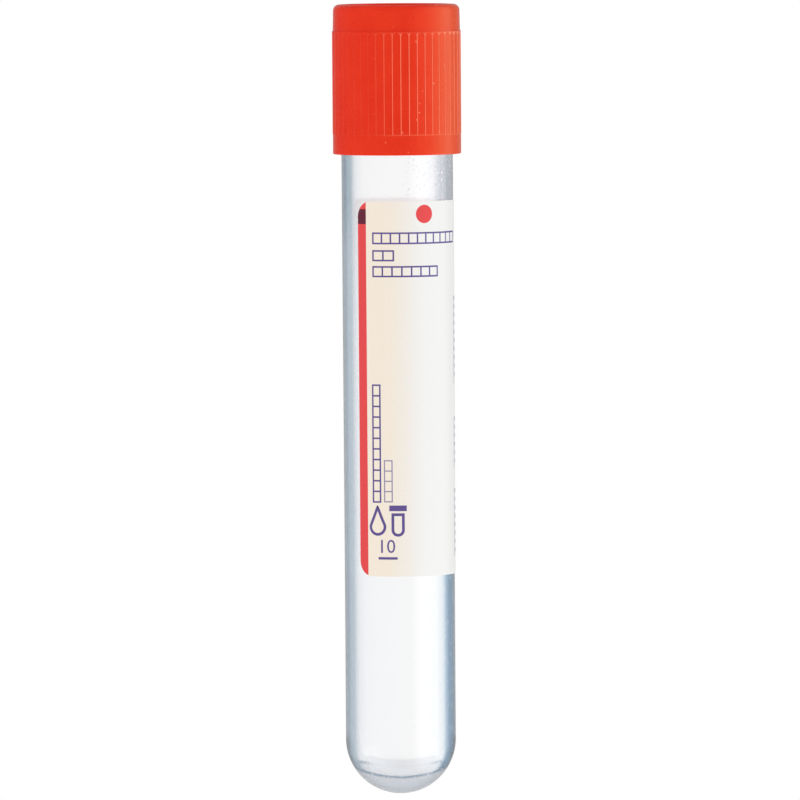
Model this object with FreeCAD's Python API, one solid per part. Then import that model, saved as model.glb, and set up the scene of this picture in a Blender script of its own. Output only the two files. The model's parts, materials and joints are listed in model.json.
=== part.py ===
"""Evacuated blood collection tube, 16 x 100 mm, with a push-on safety closure and a paper label.

Four pieces. The tube is a clear moulded plastic tube with a round closed end. A rubber stopper plugs its
mouth. A ribbed plastic shield is snapped round the stopper and comes off with it, as one closure. A paper
label is wrapped round the barrel and leaves a clear strip to see the level of the blood.

Every piece is built along the +Z axis from the round end of the tube at Z = 0, in millimetres. The round
end can't stand, and the tube rolls away when it lies, so the last step turns all four over together and
stands them on the flat rim of the closure, the only rest that such a tube has without a rack. The object
then has its origin on that surface, in the middle of the rim, its round end up, and the label's front
towards -Y.
"""

import FreeCAD
import Part

import math
import os

Vector = FreeCAD.Vector
ORIGIN = Vector(0, 0, 0)
TUBE_AXIS = Vector(0, 0, 1)
FRONT = Vector(0, 1, 0)  # where the label's front is while the pieces are built
PARTS = "parts"

# Tube, measured along its axis from the outside of the round end
TUBE_LENGTH = 100.0
TUBE_BASE_RADIUS = 7.79
TUBE_RIM_RADIUS = 7.90
BARREL_END = 30.0  # the straight barrel ends and the draft begins here
BASE_WALL = 1.45
RIM_WALL = 1.34
END_THICKNESS = 2.0  # plastic on the axis of the round end
RIM_ROUNDING = 0.35

# Stopper
PLUG_DEPTH = 8.0
SEAL_CLEARANCE = 0.05
LEAD_IN = 0.8
PLUG_WALL = 2.885
PLUG_RECESS_DEPTH = 8.2
FLANGE_THICKNESS = 3.4
FLANGE_INSET = 0.05  # how far the flange stays inside the rim
HEAD_OVERLAP = 0.95  # how far the head reaches out over the shield's ledge
HEAD_THICKNESS = 1.4
DIMPLE_RADIUS = 3.0
DIMPLE_DEPTH = 0.9
RUBBER_ROUNDING = 0.45

# Shield
SHIELD_LENGTH = 21.15
SKIRT_OVERLAP = 9.25  # how far the skirt reaches below the rim
SKIRT_CLEARANCE = 0.3
SKIRT_WALL = 0.87
SKIRT_CHAMFER = 0.3
BAND_WIDTH = 2.85
BAND_ROUNDING = 0.15
RIB_COUNT = 48
RIB_HEIGHT = 0.05  # of a rib's crest over the band
FLUTE_RADIUS = 2.6
FLUTE_DEPTH = 0.07
FLUTE_END_GAP = 0.7  # from the centre of a flute's round end to the end of the ribs
COLLAR_LENGTH = 3.75
COLLAR_STEP = 0.12  # from the ribs' crests down to the collar
COLLAR_DRAFT = 0.07
COLLAR_ROUNDING = 0.85
COLLAR_WALL = 1.6
WELL_ROUNDING = 0.3
LEDGE_THICKNESS = 1.2
LEDGE_OPENING_RADIUS = 4.95
NECK_CLEARANCE = 0.05
HEAD_CLEARANCE = 0.3
RAMP_HEIGHT = 1.7  # the well's floor rises to its wall over this height

# Label
LABEL_START = 31.3
LABEL_GAP = 6.5  # from the top of the label to the shield
LABEL_THICKNESS = 0.10
LABEL_GLUE = 0.02
LABEL_CORNER = 2.2
LABEL_EDGE_DEG = -44.4  # from the front, anticlockwise seen against the axis
LABEL_WRAP_DEG = 300.0

# What more than one piece uses: places along the axis, and radii
plug_end = TUBE_LENGTH - PLUG_DEPTH
ledge_under = TUBE_LENGTH + FLANGE_THICKNESS
ledge_top = ledge_under + LEDGE_THICKNESS
skirt_end = TUBE_LENGTH - SKIRT_OVERLAP
shield_top = skirt_end + SHIELD_LENGTH
skirt_bore = TUBE_RIM_RADIUS + SKIRT_CLEARANCE
band_radius = skirt_bore + SKIRT_WALL
rib_radius = band_radius + RIB_HEIGHT
collar_base_radius = rib_radius - COLLAR_STEP
collar_top_radius = collar_base_radius - COLLAR_DRAFT
head_radius = LEDGE_OPENING_RADIUS + HEAD_OVERLAP


def rounded_outline(corners):
    """A closed wire through (along, radius, rounding) corners, each turned on a tangent arc of its rounding."""
    count = len(corners)
    points = [Vector(0, radius, along) for along, radius, _ in corners]
    starts, ends, arcs = [], [], []
    for i, (_, _, rounding) in enumerate(corners):
        here = points[i]
        back = (points[i - 1] - here).normalize()
        ahead = (points[(i + 1) % count] - here).normalize()
        if rounding == 0:
            starts.append(here)
            ends.append(here)
            arcs.append(None)
            continue
        half = back.getAngle(ahead) / 2
        reach = rounding / math.tan(half)
        to_centre = (back + ahead).normalize() * (rounding / math.sin(half))
        middle = here + to_centre * (1 - rounding / to_centre.Length)
        starts.append(here + back * reach)
        ends.append(here + ahead * reach)
        arcs.append(Part.Arc(starts[i], middle, ends[i]).toShape())
    edges = []
    for i in range(count):
        if arcs[i]:
            edges.append(arcs[i])
        following = starts[(i + 1) % count]
        if ends[i].distanceToPoint(following) > 1e-6:
            edges.append(Part.LineSegment(ends[i], following).toShape())
    return Part.Wire(edges)


def turned(corners, degrees=360):
    """The solid that a (along, radius, rounding) outline sweeps round the tube's axis."""
    return Part.Face(rounded_outline(corners)).revolve(ORIGIN, TUBE_AXIS, degrees)


def tapered(along, base_radius, rim_radius):
    """A radius of the tube: straight up to the end of the barrel, and then drafted out to the rim."""
    share = max(0.0, along - BARREL_END) / (TUBE_LENGTH - BARREL_END)
    return base_radius + share * (rim_radius - base_radius)


def tube_radius(along):
    return tapered(along, TUBE_BASE_RADIUS, TUBE_RIM_RADIUS)


def bore_radius(along):
    return tapered(along, TUBE_BASE_RADIUS - BASE_WALL, TUBE_RIM_RADIUS - RIM_WALL)


def make_tube():
    """Clear plastic tube: round closed end, straight barrel, then a slight draft out to a rounded rim."""
    barrel_bore = bore_radius(BARREL_END)
    return turned(
        [
            (0, 0, 0),
            (0, TUBE_BASE_RADIUS, TUBE_BASE_RADIUS),
            (BARREL_END, TUBE_BASE_RADIUS, 0),
            (TUBE_LENGTH, TUBE_RIM_RADIUS, RIM_ROUNDING),
            (TUBE_LENGTH, bore_radius(TUBE_LENGTH), RIM_ROUNDING),
            (BARREL_END, barrel_bore, 0),
            (END_THICKNESS, barrel_bore, barrel_bore),
            (END_THICKNESS, 0, 0),
        ]
    )


def make_stopper():
    """Rubber stopper: a hollow plug in the mouth, a flange on the rim, a neck and a dimpled head."""
    plug_radius = bore_radius(plug_end) - SEAL_CLEARANCE
    recess_radius = plug_radius - PLUG_WALL
    flange_radius = TUBE_RIM_RADIUS - FLANGE_INSET
    neck_radius = LEDGE_OPENING_RADIUS - NECK_CLEARANCE
    head_top = ledge_top + HEAD_THICKNESS
    recess_end = plug_end + PLUG_RECESS_DEPTH
    body = turned(
        [
            (recess_end, 0, 0),
            (recess_end, recess_radius, recess_radius / 2),
            (plug_end, recess_radius, RUBBER_ROUNDING),
            (plug_end, plug_radius - LEAD_IN / 2, RUBBER_ROUNDING / 2),
            (plug_end + LEAD_IN * 2, plug_radius, 0),
            (TUBE_LENGTH, plug_radius, 0),
            (TUBE_LENGTH, flange_radius, RUBBER_ROUNDING),
            (ledge_under, flange_radius, RUBBER_ROUNDING),
            (ledge_under, neck_radius, 0),
            (ledge_top, neck_radius, 0),
            (ledge_top, head_radius, RUBBER_ROUNDING),
            (head_top, head_radius, RUBBER_ROUNDING),
            (head_top, 0, 0),
        ]
    )
    ball_radius = (DIMPLE_RADIUS**2 + DIMPLE_DEPTH**2) / (2 * DIMPLE_DEPTH)
    ball_centre = Vector(0, 0, head_top + ball_radius - DIMPLE_DEPTH)
    return body.cut(Part.makeSphere(ball_radius, ball_centre))


def make_flute(number, ribs_start, ribs_end):
    """One ball-ended cutter, lying along the ribs. Flutes are even all round, with the first in front."""
    centre_radius = rib_radius - FLUTE_DEPTH + FLUTE_RADIUS
    end_centre = ribs_end - FLUTE_END_GAP
    start = Vector(0, centre_radius, ribs_start)
    shaft = Part.makeCylinder(FLUTE_RADIUS, end_centre - ribs_start, start, TUBE_AXIS)
    flute = shaft.fuse(Part.makeSphere(FLUTE_RADIUS, Vector(0, centre_radius, end_centre))).removeSplitter()
    flute.rotate(ORIGIN, TUBE_AXIS, number * 360.0 / RIB_COUNT)
    return flute


def make_shield():
    """Plastic shield: smooth band, fluted grip and smooth collar outside, with a ledge inside that holds the
    stopper between its flange and its head, and an open well above it."""
    ribs_start = skirt_end + BAND_WIDTH
    ribs_end = shield_top - COLLAR_LENGTH
    well_radius = collar_base_radius - COLLAR_WALL
    well_floor_radius = head_radius + HEAD_CLEARANCE
    blank = turned(
        [
            (skirt_end, skirt_bore + SKIRT_CHAMFER, 0),
            (skirt_end, band_radius, BAND_ROUNDING),
            (ribs_start, band_radius, 0),
            (ribs_start, rib_radius, 0),
            (ribs_end, rib_radius, 0),
            (ribs_end, collar_base_radius, 0),
            (shield_top, collar_top_radius, COLLAR_ROUNDING),
            (shield_top, well_radius, WELL_ROUNDING),
            (ledge_top + RAMP_HEIGHT, well_radius, 0),
            (ledge_top, well_floor_radius, 0),
            (ledge_top, LEDGE_OPENING_RADIUS, 0),
            (ledge_under, LEDGE_OPENING_RADIUS, 0),
            (ledge_under, skirt_bore, 0),
            (skirt_end + SKIRT_CHAMFER, skirt_bore, 0),
        ]
    )
    return blank.cut([make_flute(number, ribs_start, ribs_end) for number in range(RIB_COUNT)])


def label_corner_cutter(label_end, along_sign, side_sign):
    """What rounds one corner of the label: a block less a round bar, both square to the paper there."""
    edge_along = label_end if along_sign > 0 else LABEL_START
    edge_deg = LABEL_EDGE_DEG + LABEL_WRAP_DEG if side_sign > 0 else LABEL_EDGE_DEG
    radius = tube_radius(edge_along)
    corner_deg = math.degrees(math.asin(LABEL_CORNER / radius))
    length = 2 * radius
    block = Part.makeBox(2 * LABEL_CORNER, length, 2 * LABEL_CORNER)
    if along_sign < 0:
        block.translate(Vector(0, 0, -2 * LABEL_CORNER))
    if side_sign > 0:
        block.translate(Vector(-2 * LABEL_CORNER, 0, 0))
    cutter = block.cut(Part.makeCylinder(LABEL_CORNER, length, ORIGIN, FRONT))
    cutter.translate(Vector(0, 0, edge_along - along_sign * LABEL_CORNER))
    cutter.rotate(ORIGIN, TUBE_AXIS, edge_deg - side_sign * corner_deg)
    return cutter


def make_label():
    """Paper label, wrapped on the drafted barrel, with four round corners."""
    label_end = skirt_end - LABEL_GAP
    bends = [LABEL_START, label_end]
    if LABEL_START < BARREL_END < label_end:
        bends.insert(1, BARREL_END)
    inner = [(along, tube_radius(along) + LABEL_GLUE, 0) for along in bends]
    outer = [(along, radius + LABEL_THICKNESS, 0) for along, radius, _ in inner]
    paper = turned(inner + outer[::-1], LABEL_WRAP_DEG)
    paper.rotate(ORIGIN, TUBE_AXIS, LABEL_EDGE_DEG)
    cutters = [label_corner_cutter(label_end, along, side) for along in (-1, 1) for side in (-1, 1)]
    return paper.cut(cutters)


def stood_on_its_head(shape):
    """The shape turned over, with the closure's rim on Z = 0 and its front towards -Y."""
    shape.rotate(ORIGIN, Vector(1, 0, 0), 180)
    shape.translate(Vector(0, 0, shield_top))
    return shape


def main():
    os.makedirs(PARTS, exist_ok=True)
    pieces = {
        "tube": make_tube(),
        "stopper": make_stopper(),
        "shield": make_shield(),
        "label": make_label(),
    }
    for name, shape in pieces.items():
        stood_on_its_head(shape).exportStep(f"{PARTS}/{name}.step")
        box = shape.optimalBoundingBox(False, False)
        print(f"{name}: {shape.Volume:.1f} mm3, {len(shape.Solids)} solid, valid {shape.isValid()}")
        print(f"  x {box.XMin:.3f} to {box.XMax:.3f}, y {box.YMin:.3f} to {box.YMax:.3f}")
        print(f"  z {box.ZMin:.3f} to {box.ZMax:.3f}")


main()
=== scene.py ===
# %% [markdown]
# # A blood collection tube, standing on its head
#
# The object is a capped plastic tube for taking blood. A clear tube with a round end is closed by a rubber
# stopper, a red ribbed shield grips the stopper, and a paper label goes most of the way round the tube.
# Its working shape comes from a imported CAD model, which this script loads as a fixed frame. Blender then
# makes each piece again as a fine, smooth mesh, because clear plastic and soft highlights show every facet
# of a coarse one, and gives it the finish of the real material.
#
# The round end can't stand, so the object stands on the rim of its closure. Heights are counted from that
# rim, the round end is on top, and the front of the label faces -Y.

import json
import math

import bmesh
import bpy
from mathutils import Matrix, Vector


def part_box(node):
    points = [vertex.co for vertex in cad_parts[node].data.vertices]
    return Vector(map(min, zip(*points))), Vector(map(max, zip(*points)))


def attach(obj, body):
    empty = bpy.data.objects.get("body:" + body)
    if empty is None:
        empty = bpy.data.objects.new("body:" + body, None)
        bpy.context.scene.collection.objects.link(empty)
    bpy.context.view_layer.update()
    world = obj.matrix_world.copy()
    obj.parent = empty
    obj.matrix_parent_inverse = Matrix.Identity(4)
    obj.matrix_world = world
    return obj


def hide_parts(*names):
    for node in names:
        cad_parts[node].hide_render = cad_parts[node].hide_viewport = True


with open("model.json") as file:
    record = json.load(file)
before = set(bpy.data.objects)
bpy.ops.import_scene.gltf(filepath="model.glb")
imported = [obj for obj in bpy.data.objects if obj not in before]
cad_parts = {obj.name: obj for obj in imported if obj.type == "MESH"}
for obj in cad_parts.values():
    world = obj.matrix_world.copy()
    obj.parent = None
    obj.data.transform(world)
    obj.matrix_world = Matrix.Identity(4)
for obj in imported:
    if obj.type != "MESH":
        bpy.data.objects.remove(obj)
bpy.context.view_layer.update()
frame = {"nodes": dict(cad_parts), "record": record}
scene = bpy.context.scene
print("CAD nodes:", sorted(frame["nodes"]))

# %% [markdown]
# ## Sizes
#
# Everything that fits something else is read from the frame: where each node begins and ends, and how wide
# it is. What the boxes don't say, such as a wall's thickness or a small rounding, is a named value here.
# The pieces are modelled in millimetres, the unit in which such a part is drawn, and one factor turns them
# into Blender's metres at the end.

# %% Read the frame's sizes
MM = 0.001


def heights(node):
    """The lowest and highest point of a CAD node, in millimetres above the rim."""
    low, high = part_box(node)
    return low.z / MM, high.z / MM


def widest_radius(node):
    """Half the widest side of a CAD node's box, in millimetres."""
    low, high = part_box(node)
    return max(high.x, high.y, -low.x, -low.y) / MM


mounts = {mount["name"]: mount for mount in frame["record"]["mounts"]}
mouth, tube_top = heights("tube")
rim, skirt_end = heights("shield")
head_top, plug_end = heights("stopper")
label_low, label_high = heights("label")

barrel_radius = mounts["tube_body"]["dims"]["r_mm"]
well_radius = mounts["needle_well"]["dims"]["r_mm"]
mouth_radius = widest_radius("tube")
draft_start = tube_top - barrel_radius - mounts["tube_body"]["dims"]["length_mm"]
print(f"tube {mouth:.2f} to {tube_top:.2f} mm high, radius {barrel_radius:.2f} to {mouth_radius:.2f} mm")
print(f"shield {rim:.2f} to {skirt_end:.2f} mm, label {label_low:.2f} to {label_high:.2f} mm")

# %% [markdown]
# ## Colours and nodes
#
# A colour is written as the sRGB hex value that a paint or a screen would give, and one function turns it
# into the linear values that shaders work with. One more function adds a node with its settings and links,
# so that each material below reads as a list of what its surface is made of. A node is called by Blender's
# name for it without the ShaderNode that all of them start with.

# %% One function for colours and one for nodes


def linear(hex_colour):
    """An sRGB hex colour, such as "f4e8d8", as linear red, green, blue and alpha."""
    parts = [int(hex_colour[i : i + 2], 16) / 255 for i in (0, 2, 4)]
    return [c / 12.92 if c <= 0.04045 else ((c + 0.055) / 1.055) ** 2.4 for c in parts] + [1.0]


def add_node(tree, kind, settings=None, **inputs):
    """A new node. Settings are its own properties.

    Inputs, by name or _number, are values, sockets or nodes. A node gives the first output that it shows.
    """
    node = tree.nodes.new("ShaderNode" + kind)
    for name, value in (settings or {}).items():
        setattr(node, name, value)
    for name, value in inputs.items():
        key = int(name[1:]) if name[1:].isdigit() else name.replace("_", " ")
        if isinstance(value, bpy.types.Node):
            value = next(output for output in value.outputs if output.enabled)
        if isinstance(value, bpy.types.NodeSocket):
            tree.links.new(value, node.inputs[key])
        else:
            node.inputs[key].default_value = value
    return node


def new_material(name):
    """An empty node material, and its node tree."""
    material = bpy.data.materials.new(name)
    material.use_nodes = True
    material.node_tree.nodes.clear()
    return material, material.node_tree


def object_position(tree):
    """Object coordinates, whole and as X, Y and Z."""
    place = add_node(tree, "TexCoord").outputs["Object"]
    return place, *add_node(tree, "SeparateXYZ", Vector=place).outputs


print("the label's cream in linear values:", [round(c, 3) for c in linear("f4e8d8")])

# %% [markdown]
# ## Turned pieces
#
# The tube, the stopper and the shield are all round. Each could start from a cylinder that is cut and
# bevelled, but a turned part is most simply made as on a lathe: draw half of its outline, round the
# corners, and spin it about the axis. A vertex bevel rounds a corner of the outline to an arc. A support
# point just past each arc keeps the long straight walls from being shaded as if they curved.

# %% The lathe
SUPPORT = 0.12  # from the end of a corner's arc to its support point
ARC_STEPS = 8
BIG_ARC_STEPS = 64
BIG_ROUNDING = 2.0  # from here up a corner gets the big arc's steps
SAME_POINT = 1e-4  # points closer than this are merged


def draw_outline(bm, corners, closed):
    """A chain of edges through (radius, height, rounding) corners. Returns what is still to be rounded."""
    chain, to_round = [], []
    for i, (radius, height, rounding) in enumerate(corners):
        here = Vector((radius, 0, height))
        beside = []
        for step in (-1, 1):
            if rounding == 0 or (not closed and not 0 <= i + step < len(corners)):
                continue
            other = corners[(i + step) % len(corners)]
            way = Vector((other[0], 0, other[1])) - here
            reach = rounding + SUPPORT
            if way.length > reach + other[2] + 2 * SUPPORT:
                beside.append((step, here + way.normalized() * reach))
        chain += [bm.verts.new(point) for step, point in beside if step < 0]
        chain.append(bm.verts.new(here))
        if rounding:
            to_round.append((chain[-1], rounding))
        chain += [bm.verts.new(point) for step, point in beside if step > 0]
    for pair in zip(chain, chain[1:]):
        bm.edges.new(pair)
    if closed:
        bm.edges.new((chain[-1], chain[0]))
    return to_round


def lathe(corners, steps, closed=False):
    """A bmesh, in millimetres, of the outline spun all the way round the Z axis."""
    bm = bmesh.new()
    for vertex, rounding in draw_outline(bm, corners, closed):
        arc_steps = ARC_STEPS if rounding < BIG_ROUNDING else BIG_ARC_STEPS
        bmesh.ops.bevel(
            bm, geom=[vertex], offset=rounding, segments=arc_steps, profile=0.5,
            affect="VERTICES", material=-1,
        )
    bmesh.ops.remove_doubles(bm, verts=bm.verts, dist=SAME_POINT)
    bmesh.ops.spin(
        bm, geom=bm.verts[:] + bm.edges[:], cent=(0, 0, 0), axis=(0, 0, 1),
        angle=math.tau, steps=steps, use_merge=True,
    )
    bmesh.ops.remove_doubles(bm, verts=bm.verts, dist=SAME_POINT)
    bmesh.ops.recalc_face_normals(bm, faces=bm.faces)
    return bm


def finish_piece(name, bm, body, materials, sharp_degrees=None):
    """The bmesh as an object in metres, smooth shaded, that rides on a CAD body."""
    bmesh.ops.scale(bm, vec=(MM, MM, MM), verts=bm.verts)
    mesh = bpy.data.meshes.new(name)
    bm.to_mesh(mesh)
    bm.free()
    mesh.shade_smooth()
    if sharp_degrees:
        mesh.set_sharp_from_angle(angle=math.radians(sharp_degrees))
    for material in materials:
        mesh.materials.append(material)
    piece = bpy.data.objects.new(name, mesh)
    scene.collection.objects.link(piece)
    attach(piece, body)
    mesh.calc_loop_triangles()
    print(f"{name}: {len(mesh.loop_triangles)} triangles")
    return piece


# %% [markdown]
# ## The tube
#
# The real tube is one injection moulding: a round closed end, a straight barrel, and then a slight draft
# out to the mouth, so that it comes off its core. Inside and outside are both drawn in one outline, from
# the outer pole down to the mouth and back up to the inner pole, which makes a closed wall for light to
# bend through. A solid rod with a Solidify would give the same wall, but not the thicker round end.

# %% Turn the tube
SIDE_WALL = 1.45
MOUTH_WALL = 1.34
END_WALL = 2.0
MOUTH_ROUNDING = 0.35
TUBE_STEPS = 256

bore_radius = barrel_radius - SIDE_WALL
mouth_bore = mouth_radius - MOUTH_WALL
bore_top = tube_top - END_WALL
tube_mesh = lathe(
    [
        (0, tube_top, 0),
        (barrel_radius, tube_top, barrel_radius),
        (barrel_radius, draft_start, 0),
        (mouth_radius, mouth, MOUTH_ROUNDING),
        (mouth_bore, mouth, MOUTH_ROUNDING),
        (bore_radius, draft_start, 0),
        (bore_radius, bore_top, bore_radius),
        (0, bore_top, 0),
    ],
    TUBE_STEPS,
)
print(f"bore radius {bore_radius:.2f} mm, {len(tube_mesh.faces)} faces")

# %% [markdown]
# ### Clear moulded PET
#
# The tube is PET, a clear polyester with an IOR of about 1.57, injection moulded in a polished tool, so it
# is as smooth as glass. Where the wall is seen aslant, light is thrown back inside it and comes from
# the darker sides of a room, which draws the blue-grey bands by which the eye knows a clear tube. Layer
# Weight paints these bands into the wall's tint as a painted reflection, so they follow the wall from every
# side. A bundle of refracted light is hard to trace, so light from lamps and matt surfaces crosses the wall
# without bending.

# %% Settings that many nodes share
MIX_COLOURS = {"data_type": "RGBA"}  # a Mix node's factor and colours are then its sockets 0, 6 and 7
MULTIPLY_COLOURS = {"data_type": "RGBA", "blend_type": "MULTIPLY"}
SMOOTH = {"interpolation_type": "SMOOTHSTEP"}
MULTIPLY = {"operation": "MULTIPLY"}
SUBTRACT = {"operation": "SUBTRACT"}
MAXIMUM = {"operation": "MAXIMUM"}
ABSOLUTE = {"operation": "ABSOLUTE"}

# %% Helpers for clear surfaces
PET_IOR = 1.57
POLISHED = 0.02  # roughness of the outside
COATED = 0.12  # roughness of the inside


def finish_see_through(tree, surface):
    """Ends a material with a surface that light from lamps and matt surfaces crosses without bending."""
    path = add_node(tree, "LightPath")
    straight = add_node(tree, "BsdfTransparent")
    for ray in ("Is Diffuse Ray", "Is Shadow Ray"):
        surface = add_node(tree, "MixShader", _0=path.outputs[ray], _1=surface, _2=straight)
    add_node(tree, "OutputMaterial", Surface=surface)


def clear_pet(tree, seen, roughness):
    """PET through one wall of which white shows as the seen colour. Its own tint is that colour squared."""
    tint = add_node(tree, "Mix", MULTIPLY_COLOURS, _0=1.0, _6=seen, _7=seen)
    plastic = add_node(
        tree, "BsdfPrincipled", Base_Color=tint, Roughness=roughness, IOR=PET_IOR, Transmission_Weight=1.0
    )
    finish_see_through(tree, plastic)


# %% [markdown]
# ### The sprayed coating inside
#
# Tubes for serum are sprayed inside with a clot activator, which dries to fine pale specks. They lie
# thickest on one side near the mouth, where the spray landed, and along the edge of a thin pool that ran
# together in the round end and dried there. Voronoi cells make the specks: each cell gives one dot, and a
# random value of the cell decides whether it is there. Geometry would need thousands of lenses for the same
# look. Over the dark bands specks read as light, so there they are drawn in the outside wall's tint, with the
# pool. Over the clear middle they are faint and grey, and are drawn on the inside wall.
#
# The coating also takes the polish off the inside wall, which lets out light that would else run along in
# the wall, as in a glass fibre, and bring the dark of the closure to the edge of the round end.

# %% Dried specks
SPECK_RADIUS = 0.42  # of a cell
SPRAY_FULL = skirt_end - 1  # the height at which the spray is thickest
SPRAY_THIN = label_low + 2  # the height from which it gets no thinner
SIDE_STARTS, SIDE_FULL = 0.1, 0.9  # between these, in bore radii towards -X, it gets thicker


def specks(tree, place, spacing, chance):
    """1 in the middle of a speck and 0 between them. The chance is the share of cells that have one."""
    cells = add_node(tree, "TexVoronoi", Vector=place, Scale=1 / (spacing * MM))
    dot = add_node(tree, "MapRange", SMOOTH, Value=cells, From_Min=SPECK_RADIUS, From_Max=SPECK_RADIUS * 0.5)
    random = add_node(tree, "SeparateColor", Color=cells.outputs["Color"])
    there = add_node(tree, "Math", {"operation": "LESS_THAN"}, _0=random.outputs["Red"], _1=chance)
    return add_node(tree, "Math", MULTIPLY, _0=dot, _1=there)


def spray(tree, x, z, most, far_share):
    """How thickly the spray landed: most near the mouth on the -X side, and a share of that far from it."""
    near_mouth = add_node(
        tree, "MapRange", Value=z,
        From_Min=SPRAY_THIN * MM, From_Max=SPRAY_FULL * MM, To_Min=far_share,
    )
    side = add_node(
        tree, "MapRange", Value=x,
        From_Min=-bore_radius * SIDE_STARTS * MM, From_Max=-bore_radius * SIDE_FULL * MM, To_Max=most,
    )
    return add_node(tree, "Math", MULTIPLY, _0=near_mouth, _1=side)


# %% PET for the outside wall: how far aslant it is seen
POOL_HEIGHT = 3.9  # from the top of the round end down to the pool's edge at the sides
ROUND_END_SHIFT = 0.12  # the bands get narrower where the wall closes

outer_pet, tree = new_material("PET, moulded and polished")
place, x, y, z = object_position(tree)
round_end = add_node(
    tree, "MapRange", SMOOTH, Value=z,
    From_Min=(tube_top - barrel_radius) * MM, From_Max=(tube_top - POOL_HEIGHT) * MM,
    To_Max=ROUND_END_SHIFT,
)
aslant = add_node(tree, "LayerWeight", Blend=0.5)
facing = add_node(tree, "Math", SUBTRACT, _0=aslant.outputs["Facing"], _1=round_end)

# %% The painted reflection: what white looks like through the wall, by how far aslant it is seen
WALL_BANDS = {  # left and right are as the label is read, so left is +X
    "left": [
        (0.0, "ffffff"), (0.22, "fdfdfe"), (0.33, "f4f5f8"), (0.40, "dae0e6"), (0.45, "b9c7d0"),
        (0.54, "b2c2cd"), (0.60, "adbcc9"), (0.65, "9aa9b8"), (0.75, "b4c1cb"), (1.0, "c8d1d8"),
    ],
    "right, near the mouth": [
        (0.0, "ffffff"), (0.14, "fcfcfd"), (0.23, "f3f3f7"), (0.33, "d0d3d9"), (0.38, "c3c7ce"),
        (0.44, "cacdd3"), (0.50, "c8cdd3"), (0.57, "c8cdd3"), (0.66, "ced3d7"), (1.0, "d8dce0"),
    ],
    "right, near the round end": [
        (0.0, "ffffff"), (0.26, "f6f8f9"), (0.36, "e2eaf0"), (0.41, "c2d3e0"), (0.45, "a9bfd2"),
        (0.50, "a0b9ce"), (0.57, "9ab2c8"), (0.66, "9db1c2"), (1.0, "c2d0da"),
    ],
}
banded = []
for stops in WALL_BANDS.values():
    ramp = add_node(tree, "ValToRGB", Fac=facing)
    elements = ramp.color_ramp.elements
    for i, (position, hex_colour) in enumerate(stops):
        stop = elements[i] if i < 2 else elements.new(position)
        stop.position = position
        stop.color = linear(hex_colour)
    banded.append(ramp)
left_wall, right_by_mouth, right_by_end = banded
print("bands of the wall:", ", ".join(WALL_BANDS))

# %% Where each band goes
LIT_BY_PAPER = 0.22  # how much paler the left side is beside the white label
LIT_OVER = 8.0  # the height over which it gets so
LIT_PAST_LABEL = 0.8  # the share of that past the label, and nearer the round end
LABEL_EDGE = 0.5  # half the height over which that share comes in

towards_end = add_node(
    tree, "MapRange", Value=z, From_Min=label_low * MM, From_Max=label_high * MM
)
side = add_node(
    tree, "MapRange", Value=x,
    From_Min=barrel_radius * MM / 3, From_Max=-barrel_radius * MM / 3,
)
right_wall = add_node(tree, "Mix", MIX_COLOURS, _0=towards_end, _6=right_by_mouth, _7=right_by_end)
# Painted light: the left wall's bands are painted paler near the label, as if lit by the white paper.
lighter = add_node(
    tree, "MapRange", Value=z,
    From_Min=label_low * MM, From_Max=(label_low + LIT_OVER) * MM, To_Max=LIT_BY_PAPER,
)
past_label = add_node(
    tree, "MapRange", Value=z, From_Min=(label_high - LABEL_EDGE) * MM,
    From_Max=(label_high + LABEL_EDGE) * MM, To_Min=1.0, To_Max=LIT_PAST_LABEL,
)
lighter = add_node(tree, "Math", MULTIPLY, _0=lighter, _1=past_label)
left_wall = add_node(tree, "Mix", MIX_COLOURS, _0=lighter, _6=left_wall, _7=linear("f6fbff"))
wall = add_node(tree, "Mix", MIX_COLOURS, _0=side, _6=left_wall, _7=right_wall)

# %% The pool of dried coating
POOL_DIP = 2.0  # how much nearer the top its edge is in front and at the back
POOL_START, POOL_FULL = -0.02, 0.08  # where it starts and where it hides most, in mm past its edge
POOL_HIDES = 0.92  # of the wall's own look
POOL_LINE = 0.45  # half the width of the dark line along its edge
LINE_DARKNESS = 0.85
LINE_FRONT = 0.25  # of the radius, from the middle to where the line in front is full

squared = add_node(tree, "Math", {"operation": "POWER"}, _0=y, _1=2.0)
edge_height = add_node(
    tree, "Math", {"operation": "MULTIPLY_ADD"},
    _0=squared, _1=POOL_DIP / (barrel_radius**2 * MM), _2=(tube_top - POOL_HEIGHT) * MM,
)
past_line = add_node(tree, "Math", SUBTRACT, _0=z, _1=edge_height)
pool = add_node(
    tree, "MapRange", Value=past_line, From_Min=POOL_START * MM, From_Max=POOL_FULL * MM, To_Max=POOL_HIDES
)
from_line = add_node(tree, "Math", ABSOLUTE, _0=past_line)
line = add_node(tree, "MapRange", SMOOTH, Value=from_line, From_Min=POOL_LINE * MM, From_Max=0.0)
in_front = add_node(
    tree, "MapRange", Value=y,
    From_Min=0.0, From_Max=-LINE_FRONT * barrel_radius * MM, To_Max=LINE_DARKNESS,
)
front_line = add_node(tree, "Math", MULTIPLY, _0=line, _1=in_front)
print(f"pool of dried coating {POOL_HEIGHT} mm deep")

# %% Specks over the bands, and the outside wall finished
DRIED = "e8eaee"
SPECKS_MM = 0.4
SPRAY_MOST, SPRAY_FAR_SHARE = 0.85, 0.12
BY_LINE_REACH, BY_LINE_FULL = 1.3, 0.2  # between these, in mm from the pool's edge, they get thicker
BY_LINE_MOST = 0.7
SPECK_PALENESS = 0.95

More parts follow.
